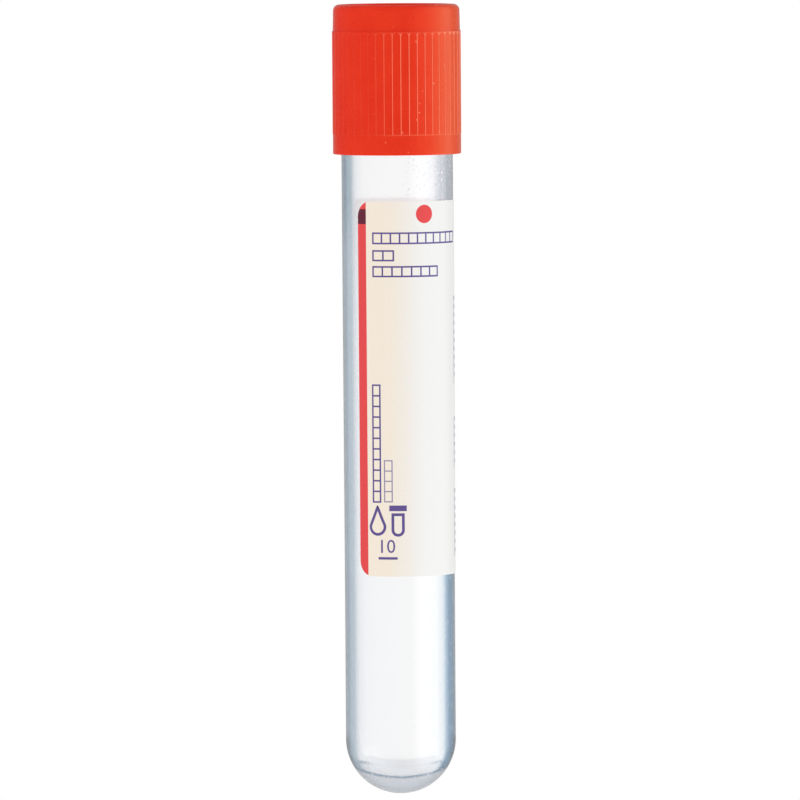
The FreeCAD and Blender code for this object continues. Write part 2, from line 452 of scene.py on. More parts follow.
by_line = add_node(
    tree, "MapRange", Value=from_line,
    From_Min=BY_LINE_REACH * MM, From_Max=BY_LINE_FULL * MM, To_Max=BY_LINE_MOST,
)
speckled = add_node(tree, "Math", MAXIMUM, _0=spray(tree, x, z, SPRAY_MOST, SPRAY_FAR_SHARE), _1=by_line)
pale = add_node(tree, "Math", MULTIPLY, _0=specks(tree, place, SPECKS_MM, speckled), _1=SPECK_PALENESS)
seen = wall
for share, hex_colour in ((pool, DRIED), (front_line, "93a7b8"), (pale, "f2f4f7")):
    seen = add_node(tree, "Mix", MIX_COLOURS, _0=share, _6=seen, _7=linear(hex_colour))
clear_pet(tree, seen, POLISHED)
print(f"specks {SPECKS_MM} mm apart over the bands")

# %% PET for the inside wall
INNER_SPECKS_MM = 0.5
INNER_MOST = 0.8
INNER_FAINTNESS = 0.8

inner_pet, tree = new_material("PET, inside, with dried coating")
place, x, y, z = object_position(tree)
faint = add_node(
    tree, "Math", MULTIPLY,
    _0=specks(tree, place, INNER_SPECKS_MM, spray(tree, x, z, INNER_MOST, 0.0)), _1=INNER_FAINTNESS,
)
seen = add_node(tree, "Mix", MIX_COLOURS, _0=faint, _6=linear("ffffff"), _7=linear(DRIED))
clear_pet(tree, seen, COATED)
print(f"specks {INNER_SPECKS_MM} mm apart inside")

# %% [markdown]
# ### The mouth's rim
#
# The rim is left matt by the mould's parting ring. It scatters the light that runs along inside the wall, so
# that the ring of a cut edge looks pale grey and not black.

# %% Matt PET, and the finished tube
rim_pet, tree = new_material("PET, matt rim")
surface = add_node(
    tree, "BsdfPrincipled", Base_Color=linear("dbe3ea"), Roughness=0.4, IOR=PET_IOR, Transmission_Weight=0.35
)
finish_see_through(tree, surface)

OUTSIDE, INSIDE, RIM = range(3)
for face in tube_mesh.faces:
    centre = face.calc_center_median()
    core = Vector((0, 0, min(centre.z, bore_top - bore_radius)))
    face.material_index = OUTSIDE if face.normal.dot(centre - core) > 0 else INSIDE
    if centre.z < mouth + MOUTH_ROUNDING:
        face.material_index = RIM

tube = finish_piece("tube_wall", tube_mesh, "tube", [outer_pet, inner_pet, rim_pet])
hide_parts("tube")

# %% [markdown]
# ## The stopper
#
# The stopper is one moulding of bromobutyl rubber: a hollow plug in the mouth, a flange on the rim, and a
# neck and head that the shield grips. The head shows at the bottom of the closure's well and the plug when
# the closure is off. The neck between them is hidden, but the whole outline is turned, because it costs no
# more than a part of it.

# %% Turn the stopper
SEAL_GAP = 0.05
PLUG_WALL = 2.885
PLUG_RECESS = 8.2
FLANGE_INSET = 0.05
HEAD_THICKNESS = 1.4
HEAD_OVERLAP = 0.95  # past the opening in the shield's ledge
LEDGE_THICKNESS = 1.2
LEDGE_OPENING = 4.95
DIMPLE_RADIUS = 3.0
DIMPLE_DEPTH = 0.9
LEAD_IN = 0.8  # half the length over which the plug narrows towards its end
RUBBER_ROUNDING = 0.45
STOPPER_STEPS = 192

ledge_low = head_top + HEAD_THICKNESS
ledge_high = ledge_low + LEDGE_THICKNESS
draft_share = (plug_end - draft_start) / (mouth - draft_start)
plug_radius = bore_radius + draft_share * (mouth_bore - bore_radius) - SEAL_GAP
recess_radius = plug_radius - PLUG_WALL
neck_radius = LEDGE_OPENING - SEAL_GAP
head_radius = LEDGE_OPENING + HEAD_OVERLAP
flange_radius = mouth_radius - FLANGE_INSET
stopper_mesh = lathe(
    [
        (0, plug_end - PLUG_RECESS, 0),
        (recess_radius, plug_end - PLUG_RECESS, recess_radius / 2),
        (recess_radius, plug_end, RUBBER_ROUNDING),
        (plug_radius - LEAD_IN / 2, plug_end, RUBBER_ROUNDING / 2),
        (plug_radius, plug_end - 2 * LEAD_IN, 0),
        (plug_radius, mouth, 0),
        (flange_radius, mouth, RUBBER_ROUNDING),
        (flange_radius, ledge_high, RUBBER_ROUNDING),
        (neck_radius, ledge_high, 0),
        (neck_radius, ledge_low, 0),
        (head_radius, ledge_low, RUBBER_ROUNDING),
        (head_radius, head_top, RUBBER_ROUNDING),
        (DIMPLE_RADIUS, head_top, 0),
        (DIMPLE_RADIUS / 2, head_top + DIMPLE_DEPTH, DIMPLE_DEPTH / 2),
        (0, head_top + DIMPLE_DEPTH, 0),
    ],
    STOPPER_STEPS,
)
print(f"plug radius {plug_radius:.2f} mm in a bore of {plug_radius + SEAL_GAP:.2f} mm")

# %% [markdown]
# ### Bromobutyl rubber
#
# Stoppers are compression moulded from a dark red bromobutyl compound and lightly siliconed. The eye gets
# a deep, dull colour with a broad faint shine, and a very fine grain from the mould.

# %% Rubber, and the finished stopper
RUBBER_GRAIN_MM = 0.12

rubber, tree = new_material("Bromobutyl rubber, compression moulded")
place = add_node(tree, "TexCoord")
grain = add_node(tree, "TexNoise", Vector=place.outputs["Object"], Scale=1 / (RUBBER_GRAIN_MM * MM))
relief = add_node(tree, "Bump", Strength=0.35, Distance=0.02 * MM, Height=grain)
surface = add_node(tree, "BsdfPrincipled", Base_Color=linear("9a2621"), Roughness=0.55, Normal=relief)
add_node(tree, "OutputMaterial", Surface=surface)

stopper = finish_piece("rubber_stopper", stopper_mesh, "closure", [rubber], 40)
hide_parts("stopper")

# %% [markdown]
# ## The shield
#
# The shield is a push-on shell: a smooth skirt round the tube, a ribbed grip, and a smooth collar with an
# open well for the needle holder. Its ribs are what shallow round-ended flutes leave standing, so each one
# has a sharp crest with a small hook at its end. Cutting 48 flutes with booleans would leave long thin
# triangles. Here the blank is spun with sixteen steps to a flute, so that a row of vertices lies on every
# crest, and each vertex of the grip is then moved in to the flute's own surface.

# %% Turn the shield's blank
SKIRT_GAP = 0.3
SKIRT_WALL = 0.87
SKIRT_CHAMFER = 0.3
BAND_WIDTH = 2.85
BAND_ROUNDING = 0.15
RIB_HEIGHT = 0.05
COLLAR_LENGTH = 3.75
COLLAR_STEP = 0.12
COLLAR_DRAFT = 0.07
COLLAR_ROUNDING = 0.85
WELL_ROUNDING = 0.3
WELL_RAMP = 1.7
HEAD_GAP = 0.3
RIBS = 48
STEPS_PER_RIB = 16
FLUTE_DEPTH = 0.07
SIDE_ROLL = 0.12  # from a crest to the flute's flat floor
FLUTE_END_GAP = 0.7  # from the end of the ribs to where the flutes' round ends begin
RIB_END_SLOPE = 0.04

skirt_bore = mouth_radius + SKIRT_GAP
band_radius = skirt_bore + SKIRT_WALL
rib_radius = band_radius + RIB_HEIGHT
collar_base = rib_radius - COLLAR_STEP
ribs_high = skirt_end - BAND_WIDTH
ribs_low = rim + COLLAR_LENGTH
flute_end = ribs_low + FLUTE_END_GAP
hook_shares = (0, 0.1, 0.2, 0.3, 0.45, 0.6, 0.8, 1)  # rows of vertices that the flutes' round ends need
hooks_outline = [(rib_radius, ribs_low + share * FLUTE_END_GAP, 0) for share in hook_shares]
shield_mesh = lathe(
    [
        (skirt_bore + SKIRT_CHAMFER, skirt_end, 0),
        (band_radius, skirt_end, BAND_ROUNDING),
        (band_radius, ribs_high, 0),
        (rib_radius, ribs_high - RIB_END_SLOPE, 0),
        *reversed(hooks_outline),
        (collar_base, ribs_low, 0),
        (collar_base - COLLAR_DRAFT, rim, COLLAR_ROUNDING),
        (well_radius, rim, WELL_ROUNDING),
        (well_radius, ledge_low - WELL_RAMP, 0),
        (head_radius + HEAD_GAP, ledge_low, 0),
        (LEDGE_OPENING, ledge_low, 0),
        (LEDGE_OPENING, ledge_high, 0),
        (skirt_bore, ledge_high, 0),
        (skirt_bore, skirt_end - SKIRT_CHAMFER, 0),
    ],
    RIBS * STEPS_PER_RIB,
    closed=True,
)
print(f"skirt bore {skirt_bore:.2f} mm, crests at {rib_radius:.2f} mm, {len(shield_mesh.faces)} faces")

# %% Move the grip's vertices in to the flutes
SLACK = 0.001  # for rounding in the vertices' places

rib_turn = math.tau / RIBS
flute_half_width = rib_radius * rib_turn / 2


def flute_depth(turn, height):
    """How deep the grip is cut: flat-floored, with sides and a round end that roll up to the crests."""
    across = rib_radius * turn
    past_end = max(0.0, flute_end - height)
    from_edge = flute_half_width - math.hypot(across, past_end)
    rolled = min(1.0, max(0.0, from_edge / SIDE_ROLL))
    return FLUTE_DEPTH * (1 - (1 - rolled) ** 2)


for vertex in shield_mesh.verts:
    radius = vertex.co.xy.length
    on_grip = ribs_low - SLACK < vertex.co.z < ribs_high - RIB_END_SLOPE / 2
    if on_grip and radius > rib_radius - SLACK:
        turn = math.atan2(vertex.co.y, vertex.co.x)
        from_middle = turn - round(turn / rib_turn) * rib_turn
        vertex.co.xy *= 1 - flute_depth(from_middle, vertex.co.z) / radius
bmesh.ops.recalc_face_normals(shield_mesh, faces=shield_mesh.faces)
print(f"flutes {2 * flute_half_width:.2f} mm wide")

# %% [markdown]
# ### Pigmented polyethylene
#
# The shield is low-density polyethylene, coloured through and injection moulded in a matt-polished tool.
# It has a waxy look: a broad, low shine, a little light that goes in and comes out again beside where it
# went in, and the faint unevenness that a thick soft moulding gets as it cools. On the -X side, where the
# soft box is, a painted orange sheen lies over the red, and painted pale highlights lie on the crests of
# the ribs, on the step to the band, on a few small spots and at the ribs' round ends.

# %% Polyethylene: its red, and a painted orange sheen towards -X
SINK_WAVES_MM = 3.0
TOOL_GRAIN_MM = 0.25
SHEEN_STARTS, SHEEN_FULL = 0.38, 0.9  # towards -X, in the ribs' radius
PAINTED_SHEEN = 0.17

polyethylene, tree = new_material("Polyethylene, pigmented and moulded")
place, x, y, z = object_position(tree)
waves = add_node(tree, "TexNoise", Vector=place, Scale=1 / (SINK_WAVES_MM * MM), Detail=1.0)
tool_grain = add_node(tree, "TexNoise", Vector=place, Scale=1 / (TOOL_GRAIN_MM * MM), Detail=2.0)
colour = add_node(tree, "Mix", MIX_COLOURS, _0=waves, _6=linear("e32714"), _7=linear("ee351e"))
# A painted sheen: the red is painted lighter and more orange towards -X, the soft box's side.
toward_soft_box = add_node(
    tree, "MapRange", SMOOTH, Value=x,
    From_Min=-SHEEN_STARTS * rib_radius * MM, From_Max=-SHEEN_FULL * rib_radius * MM,
)
painted_sheen = add_node(tree, "Math", MULTIPLY, _0=toward_soft_box, _1=PAINTED_SHEEN)
colour = add_node(tree, "Mix", MIX_COLOURS, _0=painted_sheen, _6=colour, _7=linear("f2a058"))
print(f"waves {SINK_WAVES_MM} mm and tool grain {TOOL_GRAIN_MM} mm apart")

# %% Painted highlights on the crests, the step, small spots and the ribs' ends
CREST_STARTS, CREST_FULL = 0.05, 0.02  # below the ribs' radius
HIGHLIGHT_SIDE_FROM, HIGHLIGHT_SIDE_TO = 0.4, -0.05  # along X, in the ribs' radius
HIGHLIGHT_SIDE_LEAST, HIGHLIGHT_SIDE_MOST = 0.08, 0.75
CREST_END = 0.05  # what is left of the painted highlight where a crest runs out
STEP_REACH, STEP_FULL = 0.12, 0.04  # from the step between the ribs and the skirt's band
STEP_HIGHLIGHT = 0.3
GLINTS_MM = 0.4
GLINTS_SHARE = 0.02
HOOK_GLINT_MIDDLE = 0.25  # from where the flutes' round ends begin, towards the collar
HOOK_GLINT_REACH, HOOK_GLINT_FULL = 0.45, 0.2

flat_place = add_node(tree, "VectorMath", MULTIPLY, _0=place, _1=(1, 1, 0))
from_axis = add_node(tree, "VectorMath", {"operation": "LENGTH"}, _0=flat_place)
on_crest = add_node(
    tree, "MapRange", Value=from_axis,
    From_Min=(rib_radius - CREST_STARTS) * MM, From_Max=(rib_radius - CREST_FULL) * MM,
)
# The painted highlights are strongest towards -X, the soft box's side.
highlight_side = add_node(
    tree, "MapRange", Value=x, From_Min=HIGHLIGHT_SIDE_FROM * rib_radius * MM,
    From_Max=HIGHLIGHT_SIDE_TO * rib_radius * MM, To_Min=HIGHLIGHT_SIDE_LEAST, To_Max=HIGHLIGHT_SIDE_MOST,
)
to_hooks = add_node(
    tree, "MapRange", SMOOTH, Value=z,
    From_Min=ribs_low * MM, From_Max=flute_end * MM, To_Min=CREST_END,
)
# Painted highlights along the crests of the ribs.
crests = add_node(tree, "Math", MULTIPLY, _0=on_crest, _1=to_hooks)
from_step = add_node(tree, "Math", SUBTRACT, _0=z, _1=ribs_high * MM)
from_step = add_node(tree, "Math", ABSOLUTE, _0=from_step)
# A painted highlight along the step between the ribs and the skirt's band.
step_highlight = add_node(
    tree, "MapRange", Value=from_step, From_Min=STEP_REACH * MM, From_Max=STEP_FULL * MM, To_Max=STEP_HIGHLIGHT
)
crest_and_step_highlights = add_node(tree, "Math", MAXIMUM, _0=crests, _1=step_highlight)
painted_highlights = add_node(tree, "Math", MULTIPLY, _0=crest_and_step_highlights, _1=highlight_side)
# Painted glints: small pale spots on the soft box's side.
glints = add_node(tree, "Math", MULTIPLY, _0=specks(tree, place, GLINTS_MM, GLINTS_SHARE), _1=highlight_side)
from_hook_glints = add_node(tree, "Math", SUBTRACT, _0=z, _1=(flute_end - HOOK_GLINT_MIDDLE) * MM)
from_hook_glints = add_node(tree, "Math", ABSOLUTE, _0=from_hook_glints)
at_hooks = add_node(tree, "MapRange", Value=from_hook_glints, From_Min=HOOK_GLINT_REACH * MM, From_Max=HOOK_GLINT_FULL * MM)
# Painted highlights at the ribs' round ends, on the soft box's side.
hook_glints = on_crest
for share in (at_hooks, toward_soft_box):
    hook_glints = add_node(tree, "Math", MULTIPLY, _0=hook_glints, _1=share)
for more_highlights in (glints, hook_glints):
    painted_highlights = add_node(tree, "Math", MAXIMUM, _0=painted_highlights, _1=more_highlights)
# All of these painted highlights go on in pale orange.
colour = add_node(tree, "Mix", MIX_COLOURS, _0=painted_highlights, _6=colour, _7=linear("ff9676"))
print(f"nicks in {GLINTS_SHARE:.0%} of cells {GLINTS_MM} mm wide")

# %% Its relief and shine, and the finished shield
wavy = add_node(tree, "Bump", Strength=0.5, Distance=0.03 * MM, Height=waves)
relief = add_node(tree, "Bump", Strength=0.25, Distance=0.006 * MM, Height=tool_grain, Normal=wavy)
shine = add_node(tree, "MapRange", Value=tool_grain, From_Min=0.3, From_Max=0.7, To_Min=0.26, To_Max=0.34)
surface = add_node(
    tree, "BsdfPrincipled", Base_Color=colour, Roughness=shine, IOR=1.51,
    Specular_IOR_Level=0.3, Specular_Tint=linear("ffe0a0"), Subsurface_Weight=0.15,
    Subsurface_Radius=(1.0, 0.3, 0.2), Subsurface_Scale=0.6 * MM, Normal=relief,
)
add_node(tree, "OutputMaterial", Surface=surface)

shield = finish_piece("ribbed_shield", shield_mesh, "closure", [polyethylene], 35)
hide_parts("shield")

# %% [markdown]
# ## The label
#
# The label is one sheet of coated paper. It is printed and die cut flat, with round corners, and then
# rolled on to the tube, so it is made the same way here: a flat sheet, a bevel on its four corners, cuts
# that let it bend, a thickness, and one function that rolls it round. All the print goes the same way.
# On the flat, u is to the reader's right of the front, and v is up from the label's top edge, which is the
# one next to the closure. As the object stands on its head, up on the label is down in the room.

# %% From the flat sheet to the tube
LABEL_LEFT = math.radians(-44.4)  # its left edge, round from the front
LABEL_WRAP = math.radians(300)
LABEL_CORNER = 2.2
GLUE = 0.02
PAPER = 0.10
BEND = 0.2  # width of a strip that stays flat
ON_CUT = 1e-5  # a vertex as near as this to a cut is on it

sheet_radius = mouth_radius + GLUE + PAPER
label_left = LABEL_LEFT * sheet_radius
label_width = LABEL_WRAP * sheet_radius
label_height = label_high - label_low


def tube_radius(height):
    """The tube's outer radius: straight to where the draft starts, then wider towards the mouth."""
    share = max(0.0, draft_start - height) / (draft_start - mouth)
    return barrel_radius + share * (mouth_radius - barrel_radius)


def roll_on(bm, base, thickness):
    """Gives flat faces a thickness, cuts them into narrow strips and rolls them round the tube."""
    uv = bm.loops.layers.uv.new("Sheet in mm")
    left = min(vertex.co.x for vertex in bm.verts)
    right = max(vertex.co.x for vertex in bm.verts)
    for i in range(1, math.ceil((right - left) / BEND)):
        bmesh.ops.bisect_plane(
            bm, geom=bm.verts[:] + bm.edges[:] + bm.faces[:], dist=ON_CUT,
            plane_co=(left + i * BEND, 0, 0), plane_no=(1, 0, 0),
        )
    bmesh.ops.recalc_face_normals(bm, faces=bm.faces)
    if sum(face.normal.z * face.calc_area() for face in bm.faces) < 0:
        bmesh.ops.reverse_faces(bm, faces=bm.faces)
    bmesh.ops.solidify(bm, geom=bm.faces[:], thickness=thickness)
    lowest = min(vertex.co.z for vertex in bm.verts)
    for face in bm.faces:
        for loop in face.loops:
            loop[uv].uv = loop.vert.co.xy
    for vertex in bm.verts:
        u, v, lift = vertex.co
        turn = u / sheet_radius
        height = label_low - v
        radius = tube_radius(height) + base + lift - lowest
        vertex.co = (-radius * math.sin(turn), -radius * math.cos(turn), height)
    bmesh.ops.recalc_face_normals(bm, faces=bm.faces)
    return bm


def add_rectangle(bm, left, top, width, height):
    """A flat face with its top left corner at (left, top)."""
    middle = Matrix.Translation((left + width / 2, top - height / 2, 0))
    sides = Matrix.Diagonal((width, height, 1, 1))
    made = bmesh.ops.create_grid(bm, x_segments=1, y_segments=1, size=0.5, matrix=middle @ sides)
    return made["verts"][0].link_faces[0]


def add_sheet(bm):
    """The whole label, flat, with its four corners rounded."""
    add_rectangle(bm, label_left, 0, label_width, label_height)
    bmesh.ops.bevel(
        bm, geom=bm.verts[:], offset=LABEL_CORNER, segments=12, profile=0.5, affect="VERTICES", material=-1
    )


print(f"label {label_width:.1f} x {label_height:.1f} mm")

# %% [markdown]
# ### Coated label paper
#
# The face is a calendered, clay-coated paper under a satin varnish. The paper is cream on the stripe's
# side, and a painted sheen fades it to white round the tube. The eye gets an even, soft surface with a
# satin sheen, and a trace of the fibres. The paper is thin, so light from lamps and matt surfaces is let
# through as by the wall, and its back, seen through the clear strip, isn't dark.

# %% Paper, and the finished label
FIBRE_MM = 0.35
PAPER_SHEEN_STARTS, PAPER_SHEEN_FULL = -2.5, 4.5  # where the painted sheen starts to whiten the cream and where it is white, right of the front

label_paper, tree = new_material("Label paper, clay coated and varnished")
sheet = add_node(tree, "TexCoord")
along = add_node(tree, "SeparateXYZ", Vector=sheet.outputs["UV"])
# A painted sheen: the cream is painted fading to white towards -X, the soft box's side.
paper_sheen = add_node(tree, "MapRange", SMOOTH, Value=along.outputs["X"], From_Min=PAPER_SHEEN_STARTS, From_Max=PAPER_SHEEN_FULL)
fibres = add_node(tree, "TexNoise", Vector=sheet.outputs["UV"], Scale=1 / FIBRE_MM, Detail=3.0)
paper_and_sheen = add_node(tree, "Mix", MIX_COLOURS, _0=paper_sheen, _6=linear("f4e8d8"), _7=linear("f1f1ef"))
cloudy = add_node(tree, "Mix", MIX_COLOURS, _0=fibres, _6=linear("f7f7f7"), _7=linear("ffffff"))
paper_and_sheen = add_node(tree, "Mix", MULTIPLY_COLOURS, _0=1.0, _6=paper_and_sheen, _7=cloudy)
relief = add_node(tree, "Bump", Strength=0.2, Distance=0.004 * MM, Height=fibres)
surface = add_node(
    tree, "BsdfPrincipled", Base_Color=paper_and_sheen, Roughness=0.6, Specular_IOR_Level=0.2,
    Coat_Weight=0.3, Coat_Roughness=0.28, Normal=relief,
)
finish_see_through(tree, surface)

paper_back, tree = new_material("Label paper, uncoated back")
surface = add_node(tree, "BsdfPrincipled", Base_Color=linear("ffffff"), Roughness=0.8, Specular_IOR_Level=0.1)
finish_see_through(tree, surface)

label_mesh = bmesh.new()
add_sheet(label_mesh)
roll_on(label_mesh, GLUE, PAPER)
FRONT, BACK = range(2)
for face in label_mesh.faces:
    outwards = face.calc_center_median() * Vector((1, 1, 0))
    face.material_index = BACK if face.normal.dot(outwards.normalized()) < -0.5 else FRONT
label = finish_piece("paper_label", label_mesh, "tube", [label_paper, paper_back], 40)
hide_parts("label")

# %% [markdown]
# ## The print
#
# Print is ink on the paper, a few thousandths of a millimetre thick. Each part of it is its own thin piece,
# drawn with flat shapes and rolled on over the paper, a little thicker than real ink so that it never
# flickers against the paper below it. The label is a plain one: a coloured edge, a dot, boxes and lines
# to write in, a simple drop and tube, and the volume as a number.

# %% Inks
INK = 0.012
SUNK = 0.004  # how deep the ink's underside is in the paper
OVER_PAPER = GLUE + PAPER - SUNK
MOTTLE_MM = 0.3


def ink(name, hex_colour, mottled=0.03):
    """A printing ink: flat colour with the faint mottle of a flexographic plate, under the same varnish."""
    material, tree = new_material(name)
    sheet = add_node(tree, "TexCoord")
    mottle = add_node(tree, "TexNoise", Vector=sheet.outputs["UV"], Scale=1 / MOTTLE_MM, Detail=2.0)
    paler = [c + (1 - c) * mottled for c in linear(hex_colour)]
    colour = add_node(tree, "Mix", MIX_COLOURS, _0=mottle, _6=linear(hex_colour), _7=paler)
    surface = add_node(
        tree, "BsdfPrincipled", Base_Color=colour, Roughness=0.5, Specular_IOR_Level=0.15,
        Coat_Weight=0.15, Coat_Roughness=0.28,
    )
    add_node(tree, "OutputMaterial", Surface=surface)
    return material


red_ink = ink("Printing ink, warm red", "e23f42")
maroon_ink = ink("Printing ink, maroon", "640a2e")
violet_ink = ink("Printing ink, violet", "5d4c8e")
grey_ink = ink("Printing ink, violet grey", "8b84a6")


def print_piece(name, bm, material):
    """A flat drawing as a finished piece of print."""
    return finish_piece(name, roll_on(bm, OVER_PAPER, INK), "tube", [material], 40)


# %% [markdown]
# ### The coloured edge
#
# A stripe runs down the left edge and is cut round at its ends with the label, so it starts as the whole
# sheet, from which planes cut away what isn't stripe. A short block in it is darker.

# %% Stripe and block
STRIPE_WIDTH = 1.45
BLOCK_TOP = 1.10  # below the label's top edge
BLOCK_LOW = 3.20


def edge_field(top, low):
    """The part of the label's left edge between two depths below its top."""
    bm = bmesh.new()
    add_sheet(bm)
    for point, away in (
        ((label_left + STRIPE_WIDTH, 0, 0), (1, 0, 0)),
        ((0, -top, 0), (0, 1, 0)),
        ((0, -low, 0), (0, -1, 0)),
    ):
        bmesh.ops.bisect_plane(
            bm, geom=bm.verts[:] + bm.edges[:] + bm.faces[:], dist=ON_CUT,
            plane_co=point, plane_no=away, clear_outer=True,
        )
    return bm


print_piece("stripe_top", edge_field(0, BLOCK_TOP), red_ink)
print_piece("stripe_block", edge_field(BLOCK_TOP, BLOCK_LOW), maroon_ink)
print_piece("stripe", edge_field(BLOCK_LOW, label_height), red_ink)

# %% [markdown]
# ### The dot
#
# A plain dot in the closure's colour still says what kind of tube this is when the closure is off. It is a
# filled circle, printed near the label's top edge.

# %% Dot
DOT_RADIUS = 1.3
DOT_TURN = math.radians(28.2)  # from the front to the dot's middle
DOT_DOWN = 1.8  # from the label's top edge to the dot's middle

dot = bmesh.new()
bmesh.ops.create_circle(
    dot, cap_ends=True, segments=48, radius=DOT_RADIUS,
    matrix=Matrix.Translation((DOT_TURN * sheet_radius, -DOT_DOWN, 0)),
)
print_piece("colour_dot", dot, red_ink)

# %% [markdown]
# ### Boxes to write in
#
# Rows of joined boxes take a name or a code by hand, one letter to a box, and two run down the left side. A
# grid is made of bars that meet and don't overlap. Only the picture below needs an inset for its outline.

# %% Grids of boxes
STROKE = 0.23


def add_grid(bm, left, top, columns, rows, width, height, stroke=STROKE):
    """Joined boxes. The width and height are from one bar to the next."""
    for row in range(rows + 1):
        add_rectangle(bm, left, top - row * height, columns * width + stroke, stroke)
    for row in range(rows):
        for column in range(columns + 1):
            add_rectangle(bm, left + column * width, top - row * height - stroke, stroke, height - stroke)


TEXT_LEFT = -3.75
boxes = bmesh.new()
add_grid(boxes, TEXT_LEFT, top=-4.35, columns=11, rows=1, width=1.3, height=1.45)
add_grid(boxes, TEXT_LEFT, top=-6.85, columns=2, rows=1, width=1.5, height=1.35)
add_grid(boxes, TEXT_LEFT, top=-9.1, columns=7, rows=1, width=1.4, height=1.35)
print_piece("writing_boxes", boxes, violet_ink)

# %% Ladders down the left
ladder = bmesh.new()
add_grid(ladder, left=-3.95, top=-25.8, columns=1, rows=11, width=1.1, height=1.5)
print_piece("code_boxes", ladder, violet_ink)

short_ladder = bmesh.new()
add_grid(short_ladder, left=-2.2, top=-36.5, columns=1, rows=4, width=1.1, height=1.45, stroke=0.16)
print_piece("small_code_boxes", short_ladder, grey_ink)

# %% [markdown]
# ### A drop and a tube
#
# The picture says what goes in the tube. The drop is a circle whose top is pulled up to a point, and the
# little tube a tall rectangle with its two lower corners bevelled round. An inset leaves their outlines.

# %% An outline from a flat face
PICTURE_STROKE = 0.4


def keep_border(bm, face, stroke):
    """Leaves only the border of a flat face, as wide as the stroke."""
    bmesh.ops.inset_region(bm, faces=[face], thickness=stroke, use_even_offset=True, use_boundary=True)
    bmesh.ops.delete(bm, geom=[face], context="FACES")


# %% The drop
DROP_U, DROP_V = -3.2, -45.9  # its middle
DROP_RADIUS = 1.3
DROP_POINT = 1.7  # how much higher than the circle the point is
DROP_NARROWING = 0.45

picture = bmesh.new()
made = bmesh.ops.create_circle(
    picture, cap_ends=True, segments=32, radius=DROP_RADIUS, matrix=Matrix.Translation((DROP_U, DROP_V, 0))
)
for vertex in made["verts"]:
    above = max(0.0, vertex.co.y - DROP_V) / DROP_RADIUS
    vertex.co.y += above**3 * DROP_POINT
    vertex.co.x = DROP_U + (vertex.co.x - DROP_U) * (1 - DROP_NARROWING * above**2)
keep_border(picture, made["verts"][0].link_faces[0], PICTURE_STROKE)

# %% The little tube with its cap
LITTLE_LEFT, LITTLE_TOP = -1.15, -44.0
LITTLE_WIDTH, LITTLE_HEIGHT = 1.9, 3.3
LITTLE_CORNER = 0.92

tube_face = add_rectangle(picture, LITTLE_LEFT, LITTLE_TOP, LITTLE_WIDTH, LITTLE_HEIGHT)
low_corners = [vertex for vertex in tube_face.verts if vertex.co.y < LITTLE_TOP - LITTLE_HEIGHT / 2]
bmesh.ops.bevel(
    picture, geom=low_corners, offset=LITTLE_CORNER, segments=8, profile=0.5, affect="VERTICES", material=-1
)
middle = LITTLE_LEFT + LITTLE_WIDTH / 2
tube_face = next(
    face for face in picture.faces if abs(face.calc_center_median().x - middle) < LITTLE_WIDTH / 4
)
keep_border(picture, tube_face, PICTURE_STROKE)
add_rectangle(picture, left=-1.45, top=-42.9, width=2.5, height=0.8)
print_piece("drop_and_tube", picture, violet_ink)

# %% [markdown]
# ### The volume
#
# The number is a plain ten, for the millilitres that the tube holds. A text object gives its shape, which
# is made a mesh before it is placed, and a short bar stands under it.

# %% Number and bar
NUMBER_SIZE = 2.7
NUMBER_PLACE = (-1.9, -49.6, 0)  # the middle of its foot

text = bpy.data.curves.new("ten", "FONT")
text.body = "10"
text.size = NUMBER_SIZE
text.align_x = "CENTER"
text.resolution_u = 3
text_object = bpy.data.objects.new("ten", text)
text_mesh = bpy.data.meshes.new_from_object(text_object)
bpy.data.objects.remove(text_object)

number = bmesh.new()
number.from_mesh(text_mesh)
bmesh.ops.remove_doubles(number, verts=number.verts, dist=SAME_POINT)
bmesh.ops.translate(number, vec=NUMBER_PLACE, verts=number.verts)
print_piece("volume_number", number, violet_ink)
bpy.data.meshes.remove(text_mesh)

bar = bmesh.new()
add_rectangle(bar, left=-3.1, top=-50.2, width=2.8, height=0.35)
print_piece("volume_bar", bar, violet_ink)

# %% [markdown]
# ### Lines round the side and back
#
# The rest of the label is ruled in three blocks that read down the tube. Beside each line runs a row of
# dashes.

# %% Ruled lines
LINE = 0.14
LINE_TURNS = (78, 112, 146, 180, 214, 240)  # degrees round from the front
LINE_BLOCKS = ((13.6, 26.0), (30.7, 38.1), (40.9, 50.6))  # below the label's top edge
DASH_GAP = 0.5  # from the line's left side to the dashes
DASH_PITCH = 1.2
DASH_WIDTH, DASH_LENGTH = 0.5, 0.6

lines = bmesh.new()
for turn in LINE_TURNS:
    u = math.radians(turn) * sheet_radius
    for top, low in LINE_BLOCKS:
        add_rectangle(lines, u, -top, LINE, low - top)
        for i in range(int((low - top) / DASH_PITCH)):
            add_rectangle(lines, u + DASH_GAP, -top - i * DASH_PITCH, DASH_WIDTH, DASH_LENGTH)
print_piece("ruled_lines", lines, grey_ink)

# %% [markdown]
# ## Floor, room and lamps
#
# The object stands on a pale floor in a white room. The camera sees the room as plain white, and the clear
# wall sees it nearly so. A shine sees it dim, with a pale backdrop and one wide soft box towards -X, so that
# colours stay deep and the sheen lies on that side. Soft light from the room and two lamps give a colour
# about the level at which it is written. The floor shows and shades only from above, because the camera
# looks up from a little below it.

# %% Floor
FLOOR_RADIUS = 0.6  # in metres, as the lamps' places and sizes
disc = bmesh.new()
bmesh.ops.create_circle(disc, cap_ends=True, segments=96, radius=FLOOR_RADIUS)
floor_data = bpy.data.meshes.new("floor")
disc.to_mesh(floor_data)
disc.free()
floor = bpy.data.objects.new("floor", floor_data)
scene.collection.objects.link(floor)
floor.visible_diffuse = False
floor.visible_glossy = False

